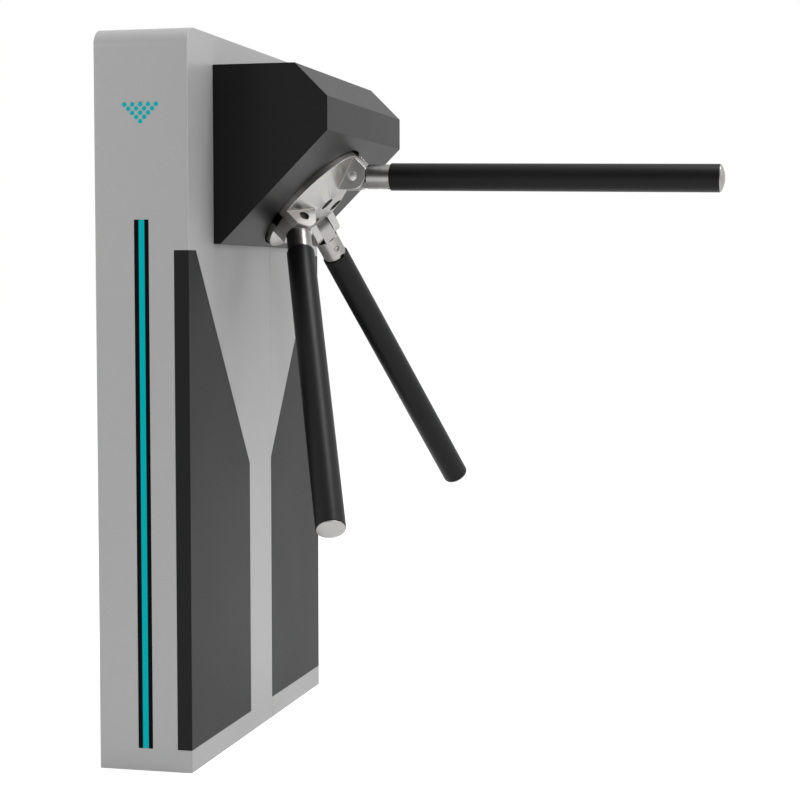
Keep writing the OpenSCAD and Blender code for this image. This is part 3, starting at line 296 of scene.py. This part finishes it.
def boardFinish(name, look):
    # Circuit board: copper tracks under the solder mask
    paint = newPaint(name)
    tracks = paint.node("ShaderNodeTexBrick", {"offset": 0.5, "squash": 1.0}, {
        "Vector": paint.mapped((1, 1, 1), look["turn"]), "Scale": look["tracks"], "Mortar Size": 0.035,
        "Color1": (0, 0, 0), "Color2": (0, 0, 0), "Mortar": (1, 1, 1)})
    soft = paint.noise(paint.mapped((30, 30, 30)), detail=2)
    paint.bump(tracks, 0.03, 0.4)
    return paint.finish(Base_Color=paint.mixed(tracks * 0.55, shade(look["colour"], 0.9), look["copper"]),
                        Roughness=soft * 0.15 + 0.25)


cyan = (0.0, 0.43, 0.47)

cabinetLook = {
    "cabinet_sheet": (sheetFinish, {"colour": (0.37, 0.37, 0.37), "rough": 0.42, "metallic": 0.15,
                                    "grain": 0.05}),
    "dark_panel": (coatFinish, {"colour": (0.007, 0.007, 0.0074), "rough": 0.46, "gloss": 0.15}),
    "hood_black": (coatFinish, {"colour": (0.006, 0.006, 0.0063), "rough": 0.43, "gloss": 0.17}),
    "primer_grey": (coatFinish, {"colour": (0.2, 0.2, 0.2), "rough": 0.55, "dust": 0.5}),
    "frame_grey": (coatFinish, {"colour": (0.1, 0.1, 0.11), "rough": 0.45}),
    "black_plastic": (plasticFinish, {"colour": (0.003, 0.003, 0.0034), "rough": 0.5, "gloss": 0.03}),
    "cyan_lens": (litFinish, {"colour": cyan, "strength": 0.8, "gloss": 0.03}),
}
mechanismLook = {
    "hub_aluminium": (metalFinish, {"colour": (0.41, 0.4, 0.39), "rough": 0.3, "along": (1, 1, 0.12),
                                    "edgeTone": 0.75}),
    "arm_root_steel": (metalFinish, {"colour": (0.34, 0.33, 0.322), "rough": 0.3, "rings": True,
                                     "depth": 0.15, "spread": 0.1, "edgeTone": 0.8}),
    "arm_cap_metal": (metalFinish, {"colour": (0.35, 0.34, 0.33), "rough": 0.4, "along": (1, 1, 0.06),
                                    "depth": 0.25, "spread": 0.1}),
    "arm_black": (coatFinish, {"colour": (0.005, 0.005, 0.0054), "rough": 0.43, "gloss": 0.17, "peel": 0.2}),
    "polished_pin": (metalFinish, {"colour": (0.6, 0.59, 0.58), "rough": 0.46, "along": (0.5, 0.5, 0.5),
                                   "depth": 0.08}),
    "black_screw": (metalFinish, {"colour": (0.05, 0.05, 0.052), "rough": 0.4, "metallic": 0.7}),
    "bracket_steel": (metalFinish, {"colour": (0.42, 0.43, 0.44), "rough": 0.38, "along": (0.05, 1, 1)}),
    "zinc_steel": (metalFinish, {"colour": (0.42, 0.415, 0.4), "rough": 0.34, "depth": 0.1}),
    "bearing_steel": (metalFinish, {"colour": (0.62, 0.62, 0.63), "rough": 0.16, "along": (0.4, 0.4, 0.4),
                                    "depth": 0.1}),
    "gear_steel": (metalFinish, {"colour": (0.36, 0.36, 0.37), "rough": 0.34, "along": (1, 0.2, 1)}),
    "housing_cast": (plasticFinish, {"colour": (0.5, 0.5, 0.5), "rough": 0.5, "texture": 0.9, "grain": 450}),
    "motor_black": (coatFinish, {"colour": (0.03, 0.03, 0.033), "rough": 0.4}),
    "coil_blue": (coatFinish, {"colour": (0.05, 0.07, 0.13), "rough": 0.4}),
}
electricsLook = {
    "white_board": (plasticFinish, {"colour": (0.75, 0.75, 0.72), "rough": 0.4}),
    "green_board": (boardFinish, {"colour": (0.01, 0.09, 0.035), "copper": (0.03, 0.2, 0.07), "tracks": 260,
                                  "turn": (0, 90, 0)}),
    "perforated_case": (metalFinish, {"colour": (0.55, 0.55, 0.56), "rough": 0.34, "along": (1, 0.04, 1)}),
}
finishes = {}
for group in (cabinetLook, mechanismLook, electricsLook):
    for slot, (make, look) in group.items():
        finishes[slot] = make(camelName(slot), look)
for name, node in frame["nodes"].items():
    node.data.materials.clear()
    node.data.materials.append(finishes[slotOf[name]])
print("finishes made:", len(finishes))


def addPiece(name, shape, body, slot, nodes=(), sharp=35):
    # Makes an object from a bmesh that is already in place; it rides on a body and may replace CAD nodes
    mesh = bpy.data.meshes.new(name)
    shape.to_mesh(mesh)
    shape.free()
    mesh.shade_smooth()
    mesh.set_sharp_from_angle(angle=math.radians(sharp))
    piece = bpy.data.objects.new(name, mesh)
    bpy.context.scene.collection.objects.link(piece)
    mesh.materials.append(finishes[slot])
    if nodes:
        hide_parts(*nodes)
    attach(piece, body)
    return piece


# How meshes are cleaned and rounded: merge and exact in millimetres, flat and bevelOver in degrees
smoothing = {"merge": 0.004, "flat": 0.4, "bevelOver": 32, "weight": 50, "slope": 0.01, "exact": 0.001}


def roundEdges(piece, edge, segments=2, clamp=True):
    rounding = piece.modifiers.new("rounding", "BEVEL")
    rounding.width = edge * mm
    rounding.segments = segments
    rounding.profile = 0.5
    rounding.limit_method = "ANGLE"
    rounding.angle_limit = math.radians(smoothing["bevelOver"])
    rounding.miter_outer = "MITER_ARC"
    rounding.use_clamp_overlap = clamp
    weighting = piece.modifiers.new("weighting", "WEIGHTED_NORMAL")
    weighting.mode = "FACE_AREA"
    weighting.weight = smoothing["weight"]
    weighting.keep_sharp = True


def cutStrips(shape, across):
    # Cuts the long strips of a shell's top rounding at a place along x
    slope = smoothing["slope"]
    strips = [face for face in shape.faces if abs(face.normal.y) > slope and face.normal.z > slope]
    parts = dict.fromkeys(part for face in strips for part in (face, *face.edges, *face.verts))
    bmesh.ops.bisect_plane(shape, geom=list(parts), dist=smoothing["exact"] * mm,
                           plane_co=(across * mm, 0, 0), plane_no=(1, 0, 0))


def softened(nodeName, edge):
    # A merged copy of the node with its edges rounded
    shape = bmesh.new()
    shape.from_mesh(frame["nodes"][nodeName].data)
    bmesh.ops.remove_doubles(shape, verts=shape.verts, dist=smoothing["merge"] * mm)
    bmesh.ops.dissolve_limit(shape, angle_limit=math.radians(smoothing["flat"]),
                             verts=shape.verts, edges=shape.edges)
    for across in cuts.get(nodeName, ()):
        cutStrips(shape, across)
    piece = addPiece(camelName(nodeName), shape, bodyOf[nodeName], slotOf[nodeName], [nodeName])
    roundEdges(piece, edge, clamp=nodeName not in freeEdges)
    return piece


# Pieces in which one short edge would hold back the radius of all the others
freeEdges = {"front_shell", "rear_shell", "mechanism_bracket", "plate_pillars", "entry_pawl", "exit_pawl"}
# Where the shells' strips are cut, in millimetres, so that the upright corners tilt only the strips' ends
cuts = {"front_shell": (-61.5, 61.5), "rear_shell": (-61.5, 61.5)}
# Edge radii in millimetres
cabinetEdges = {
    "front_shell": 0.35, "rear_shell": 0.35, "front_side_panel": 0.4, "rear_side_panel": 0.4,
    "front_light_channel": 0.4, "rear_light_channel": 0.4,
    "front_light_diffuser": 0.4, "rear_light_diffuser": 0.4,
    "front_indicator_lens": 0.3, "rear_indicator_lens": 0.3, "hood_shell": 0.9,
    "service_door": 0.35, "door_lock_body": 0.4, "door_lock_plug": 0.25, "hinge_leaves": 0.3,
    "hinge_pins": 0.4, "base_plate": 0.6, "support_frame": 1.6, "equipment_plate": 0.3,
}
mechanismEdges = {
    "hub": 1.0, "hub_screws": 0.6, "arm_1_root": 0.5, "arm_2_root": 0.5, "arm_3_root": 0.5,
    "mechanism_bracket": 0.7, "gear_plate": 0.6, "bearing_housing": 0.6, "plate_pillars": 0.4,
    "main_shaft": 0.5, "lock_nut": 0.5, "main_gear": 0.25, "motor_pinion": 0.2, "lock_disc": 0.4,
    "encoder_disc": 0.15, "entry_pawl": 0.4, "exit_pawl": 0.4, "entry_plunger": 0.3, "exit_plunger": 0.3,
    "lock_solenoids": 0.8, "drive_motor": 0.8, "position_sensor": 0.4, "hood_screws": 0.4,
    "bracket_bolts": 0.4, "bearing_outer_races": 0.3, "bearing_inner_races": 0.3,
}
pieces = {}
for nodeName, edge in {**cabinetEdges, **mechanismEdges}.items():
    pieces[nodeName] = softened(nodeName, edge)
for number in (1, 2, 3):
    # The lathe's rings run round each arm's own axis
    place = armPlace(number)
    turn = [math.degrees(a) for a in place.to_euler()]
    look = {**mechanismLook["arm_root_steel"][1], "turn": turn, "centre": place.translation}
    pieces[f"arm_{number}_root"].data.materials[0] = metalFinish(f"armRootSteel{number}", look)
print("edges rounded:", len(pieces))


def turned(shape, outline, place, sides):
    # Spins an outline of (radius, height) in millimetres about z, then puts it in its place
    before = set(shape.verts)
    line = [shape.verts.new((radius * mm, 0, height * mm)) for radius, height in outline]
    edges = [shape.edges.new(pair) for pair in zip(line, line[1:])]
    bmesh.ops.spin(shape, geom=line + edges, cent=(0, 0, 0), axis=(0, 0, 1), dvec=(0, 0, 0),
                   angle=2 * math.pi, steps=sides, use_merge=True, use_duplicate=False)
    bmesh.ops.remove_doubles(shape, verts=[v for v in shape.verts if v not in before],
                             dist=smoothing["exact"] * mm)
    made = [v for v in shape.verts if v not in before]
    bmesh.ops.recalc_face_normals(shape, faces=list({face for v in made for face in v.link_faces}))
    bmesh.ops.transform(shape, matrix=place, verts=made)
    return shape


def dome(radius, height, rise, steps=10):
    # Outline of a shallow dome that stands on a disc at this height
    ball = (radius * radius + rise * rise) / (2 * rise)
    angles = [math.asin(radius / ball) * (1 - i / steps) for i in range(steps + 1)]
    return [(ball * math.sin(a), height + rise - ball * (1 - math.cos(a))) for a in angles]


def quarter(radius, height, edge, steps=5):
    # Outline of a rounded edge that turns from the lower end of a cylinder up its side
    angles = [math.pi / 2 * i / steps for i in range(steps + 1)]
    return [(radius - edge + edge * math.sin(a), height + edge - edge * math.cos(a)) for a in angles]


# Distances along an arm are from the apex, those of a pin or a screw from the arm's axis
arm = {
    "radius": 19.5, "wall": 2, "start": 147, "end": 610, "startEdge": 1.5, "edge": 0.25,
    "capRadius": 18.7, "capPlug": 17.4, "capPlugDepth": 14, "capStep": 2, "capDome": 5, "capEdge": 0.5,
    "pinRadius": 7, "pinLow": -17, "pinHigh": 22, "pinDome": 1.8, "pinEnd": 1,
    "screwRadius": 4.3, "screwLow": 9.5, "screwHigh": 17.1, "screwDish": 2.6, "screwRim": 0.6,
    "screwAt": 130.55, "sides": 96, "pinSides": 48, "screwSides": 32,
}


def addTurned(node, outline, place, sides):
    # A turned piece that replaces the node
    shape = turned(bmesh.new(), outline, place, sides)
    return addPiece(camelName(node), shape, bodyOf[node], slotOf[node], [node])


def makeArm(number):
    radius, inner, start, end = arm["radius"], arm["radius"] - arm["wall"], arm["start"], arm["end"]
    outline = [(inner, start), *quarter(radius, start, arm["startEdge"]), (radius, end), (inner, end),
               (inner, start)]
    roundEdges(addTurned(f"arm_{number}_tube", outline, armPlace(number), arm["sides"]), arm["edge"])
    plug, low, step = arm["capPlug"], end - arm["capPlugDepth"], end + arm["capStep"]
    outline = [(0, low), (plug, low), (plug, end), (arm["capRadius"], end),
               *dome(arm["capRadius"], step, arm["capDome"])]
    cap = addTurned(f"arm_{number}_cap", outline, armPlace(number), arm["sides"])
    roundEdges(cap, arm["capEdge"], segments=3)
    outer, rim, low, high = (arm[k] for k in ("screwRadius", "screwRim", "screwLow", "screwHigh"))
    outline = [(0, low), (outer, low), (outer, high - 2 * rim), (outer - rim, high - rim),
               *dome(outer - rim, high, -arm["screwDish"])]
    place = armPlace(number, arm["screwAt"], -90, "Y")
    roundEdges(addTurned(f"arm_{number}_set_screw", outline, place, arm["screwSides"]), arm["edge"])


def makePivotPins():
    # One end is domed. The other lies flat inside the ear, under a thin black disc that is painted shade for
    # the hole in the ear
    node, radius, low = "arm_pivot_pins", arm["pinRadius"], arm["pinLow"]
    pinOutline = [(0, low), (radius, low), *dome(radius, arm["pinHigh"], arm["pinDome"])]
    # Painted shade: a thin black disc on the pin's flat end makes the hole in the ear read dark
    shadeDiscOutline = [(0, low - arm["pinEnd"]), (radius, low - arm["pinEnd"]), (radius, low), (0, low)]
    for name, outline, slot in (("armPivotPins", pinOutline, slotOf[node]),
                                ("armPivotPinEnds", shadeDiscOutline, "black_screw")):
        shape = bmesh.new()
        for number in (1, 2, 3):
            turned(shape, outline, armPlace(number, hub["pivotAt"], -90, "X"), arm["pinSides"])
        roundEdges(addPiece(name, shape, bodyOf[node], slot, [node]), arm["edge"])


for number in (1, 2, 3):
    makeArm(number)
makePivotPins()
print("arms made")


def slab(shape, low, high):
    # A block between two corners in millimetres
    size = [h - l for l, h in zip(low, high)]
    middle = [(l + h) / 2 * mm for l, h in zip(low, high)]
    place = Matrix.Translation(middle) @ Matrix.Diagonal([s * mm for s in size] + [1])
    bmesh.ops.create_cube(shape, size=1, matrix=place)


outwards = Matrix.Rotation(math.radians(-90), 4, "Y")  # turns z to face the service door

# Edge radius of the small electric parts in millimetres, and the sides of a turned part and of a screw
electric = {"edge": 0.15, "sides": 24, "screwSides": 16}

# Distances from the board's corner in millimetres; size is a depth, a length and a height, and a screw's head
# has a radius, a height, a rise and its steps
control = {
    "sheet": 1.6, "pillar": 8, "pillarRadius": 3, "pillarHead": (3, 0.8, 1, 4), "inset": 6,
    "terminals": {"first": 10, "pitch": 22, "count": 7, "low": 92, "size": (10.4, 18, 12), "screws": 3},
    "terminalHead": (2.2, 0.4, 0.5, 3),
    "relays": {"first": 20, "pitch": 30, "count": 3, "low": 62, "size": (15.4, 20, 16)},
    "chip": {"first": 101, "low": 31, "body": 28, "thick": 3.4, "lift": 0.4, "legs": 18, "leg": 0.5,
             "legTall": 0.8, "legLong": 1},
    "cans": {"first": 15, "pitch": 12, "count": 6, "low": 25, "radius": 4, "long": 11,
             "groove": (1.4, 1.9, 2.4), "grooveDeep": 0.5, "rim": 0.6, "top": 1},
}


def atDoor(middle):
    # The place of a turned part that stands out towards the service door, at a point in millimetres
    return Matrix.Translation(Vector(middle) * mm) @ outwards


def addScrew(shape, head, middle, sides):
    # The head of a screw that stands on a flat face
    turned(shape, [(0, 0), (head[0], 0), *dome(*head)], atDoor(middle), sides)


def makeControlBoard():
    low, high = (Vector(corner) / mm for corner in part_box("control_board"))
    face = high.x - control["pillar"] - control["sheet"]
    board, metal, dark, blue = (bmesh.new() for i in range(4))
    slab(board, (face, low.y, low.z), (face + control["sheet"], high.y, high.z))
    inset, pillar, radius = control["inset"], control["pillar"], control["pillarRadius"]
    outline = [(0, -pillar), (radius, -pillar), (radius, 0), (0, 0)]
    for y in (low.y + inset, high.y - inset):
        for z in (low.z + inset, high.z - inset):
            turned(metal, outline, atDoor((face + control["sheet"], y, z)), electric["sides"])
            addScrew(metal, control["pillarHead"], (face, y, z), electric["sides"])
    for name, shape in (("terminals", dark), ("relays", blue)):
        row = control[name]
        deep, long, tall = row["size"]
        for i in range(row["count"]):
            y, z = low.y + row["first"] + i * row["pitch"], low.z + row["low"]
            slab(shape, (face - deep, y, z), (face, y + long, z + tall))
            for j in range(row.get("screws", 0)):
                middle = (face - deep, y + long * (j + 0.5) / row["screws"], z + tall / 2)
                addScrew(metal, control["terminalHead"], middle, electric["screwSides"])
    chip = control["chip"]
    y, z, body = low.y + chip["first"], low.z + chip["low"], chip["body"]
    leg, tall, long = chip["leg"], chip["legTall"], chip["legLong"]
    slab(dark, (face - chip["thick"], y, z), (face - chip["lift"], y + body, z + body))
    for i in range(chip["legs"]):
        at = body * (i + 0.5) / chip["legs"]
        for side in (-long, body):
            slab(metal, (face - tall, y + at, z + side), (face, y + at + leg, z + side + long))
            slab(metal, (face - tall, y + side, z + at), (face, y + side + long, z + at + leg))
    cans = control["cans"]
    radius, long, groove = cans["radius"], cans["long"], cans["groove"]
    sleeve = [(0, 0), (radius, 0), (radius, groove[0]), (radius - cans["grooveDeep"], groove[1]),
              (radius, groove[2]), (radius, long), (0, long)]
    inner, under = radius - cans["rim"], long - cans["top"]
    for i in range(cans["count"]):
        place = atDoor((face, low.y + cans["first"] + i * cans["pitch"], low.z + cans["low"]))
        turned(blue, sleeve, place, electric["sides"])
        turned(metal, [(0, under), (inner, under), (inner, long), (0, long)], place, electric["sides"])
    for name, shape, slot in (("controlBoard", board, "green_board"), ("boardMetal", metal, "zinc_steel"),
                              ("boardPlastic", dark, "black_plastic"), ("boardParts", blue, "coil_blue")):
        piece = addPiece(name, shape, bodyOf["control_board"], slot, ["control_board"])
        roundEdges(piece, electric["edge"])


# The power supply's terminals fill the notch in its corner; sizes in millimetres, the screws' head as above
terminals = {"back": 12, "face": 6, "fins": 3, "width": (1, 15), "margin": 8, "rows": 9, "fin": 1.2,
             "head": (2.6, 0.8, 0.6, 3)}


def makeSupplyTerminals():
    low, high = (Vector(corner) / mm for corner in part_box("power_supply"))
    dark, metal = bmesh.new(), bmesh.new()
    near, far = (low.y + across for across in terminals["width"])
    bottom, top = low.z + terminals["margin"], high.z - terminals["margin"]
    slab(dark, (low.x + terminals["face"], near, bottom), (low.x + terminals["back"], far, top))
    pitch, half = (top - bottom) / terminals["rows"], terminals["fin"] / 2
    for i in range(terminals["rows"] + 1):
        z = bottom + i * pitch
        slab(dark, (low.x + terminals["fins"], near, z - half),
             (low.x + terminals["face"] + half, far, z + half))
    for i in range(terminals["rows"]):
        middle = (low.x + terminals["face"], (near + far) / 2, bottom + (i + 0.5) * pitch)
        addScrew(metal, terminals["head"], middle, electric["screwSides"])
    for name, shape, slot in (("supplyTerminals", dark, "black_plastic"),
                              ("supplyScrews", metal, "zinc_steel")):
        roundEdges(addPiece(name, shape, bodyOf["power_supply"], slot), electric["edge"])


def makeSprings():
    # A spring each for the entry's and the exit's plunger, split from the node's mesh and given a mesh of its
    # own; the real spring shortens as the plunger is pulled in
    node = "plunger_springs"
    low, high = (Vector(corner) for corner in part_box(node))
    middle = (low + high) / 2
    for side, sign in (("entry", -1), ("exit", 1)):
        shape = bmesh.new()
        shape.from_mesh(frame["nodes"][node].data)
        bmesh.ops.remove_doubles(shape, verts=shape.verts, dist=smoothing["exact"] * mm)
        others = [v for v in shape.verts if sign * (v.co.x + v.co.z - middle.x - middle.z) < 0]
        bmesh.ops.delete(shape, geom=others, context="VERTS")
        spring = addPiece(side + "PlungerSpring", shape, bodyOf[node], slotOf[node], [node], sharp=60)
        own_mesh(spring)


makeSprings()
makeControlBoard()
makeSupplyTerminals()
print("electrics made")

# Places and sizes in metres, powers in watts; the front's shade begins and ends at these values of -y
studio = {
    "ambient": 0.63, "floorTone": 0.86, "floorGlow": 0.5, "floorSize": 60,
    "frontShade": 0.8, "frontBegins": 0.1, "frontEnds": 0.8,
    "lamps": {
        "softboxLeft": {"place": (-2.6, -3.4, 2.2), "target": (0, 0, 0.5), "size": 2.2, "power": 46},
        "softboxRight": {"place": (2.9, 0.4, 2.0), "target": (0.1, 0, 0.5), "size": 1.8, "power": 17},
        "softboxTop": {"place": (1.2, 0, 2.9), "target": (0.1, 0, 0.8), "size": 0.75, "power": 36},
    },
}


def seenDirectly(paint):
    # 1 for camera, glossy and transmission rays
    straight = paint.node("ShaderNodeLightPath", output="Is Camera Ray")
    outputs = straight.socket.node.outputs
    glossy, through = Link(paint, outputs["Is Glossy Ray"]), Link(paint, outputs["Is Transmission Ray"])
    return (straight + glossy + through).clamped()


def makeFloor():
    shape = bmesh.new()
    bmesh.ops.create_grid(shape, x_segments=1, y_segments=1, size=studio["floorSize"] / 2)
    mesh = bpy.data.meshes.new("floor")
    shape.to_mesh(mesh)
    shape.free()
    floor = bpy.data.objects.new("floor", mesh)
    bpy.context.scene.collection.objects.link(floor)
    paint = newPaint("floorWhite")
    paint.tree.nodes.remove(paint.tree.nodes["Principled BSDF"])
    matt = paint.node("ShaderNodeBsdfDiffuse", None, {"Color": (studio["floorTone"],) * 3})
    glow = paint.node("ShaderNodeEmission", None, {
        "Color": (1, 1, 1), "Strength": seenDirectly(paint) * studio["floorGlow"]})
    both = paint.node("ShaderNodeAddShader", None, {0: matt, 1: glow})
    paint.put(paint.tree.nodes["Material Output"].inputs["Surface"], both)
    mesh.materials.append(paint.owner)


def makeWorld():
    # White all round; what shines shows a darker studio front, as behind a camera
    world = bpy.data.worlds.new("studio")
    bpy.context.scene.world = world
    paint = Paint(world)
    for old in list(paint.tree.nodes):
        paint.tree.nodes.remove(old)
    light = paint.node("ShaderNodeBackground", None, {"Color": (1, 1, 1), "Strength": studio["ambient"]})
    front = (0 - paint.axis("Y")).between(studio["frontBegins"], studio["frontEnds"])
    glossy = paint.node("ShaderNodeLightPath", output="Is Glossy Ray")
    white = paint.node("ShaderNodeBackground", None, {
        "Color": (1, 1, 1), "Strength": 1 - glossy * front * studio["frontShade"]})
    both = paint.node("ShaderNodeMixShader", None, {0: seenDirectly(paint), 1: light, 2: white})
    paint.node("ShaderNodeOutputWorld", None, {"Surface": both}, output=None)


def addLamp(name, lamp):
    data = bpy.data.lights.new(name, "AREA")
    data.shape = "SQUARE"
    data.size = lamp["size"]
    data.energy = lamp["power"]
    light = bpy.data.objects.new(name, data)
    bpy.context.scene.collection.objects.link(light)
    light.location = lamp["place"]
    towards = Vector(lamp["target"]) - Vector(lamp["place"])
    light.rotation_euler = towards.to_track_quat("-Z", "Y").to_euler()


makeWorld()
makeFloor()
for name, lamp in studio["lamps"].items():
    addLamp(name, lamp)
bpy.context.scene.view_settings.view_transform = "Standard"
print("studio ready")
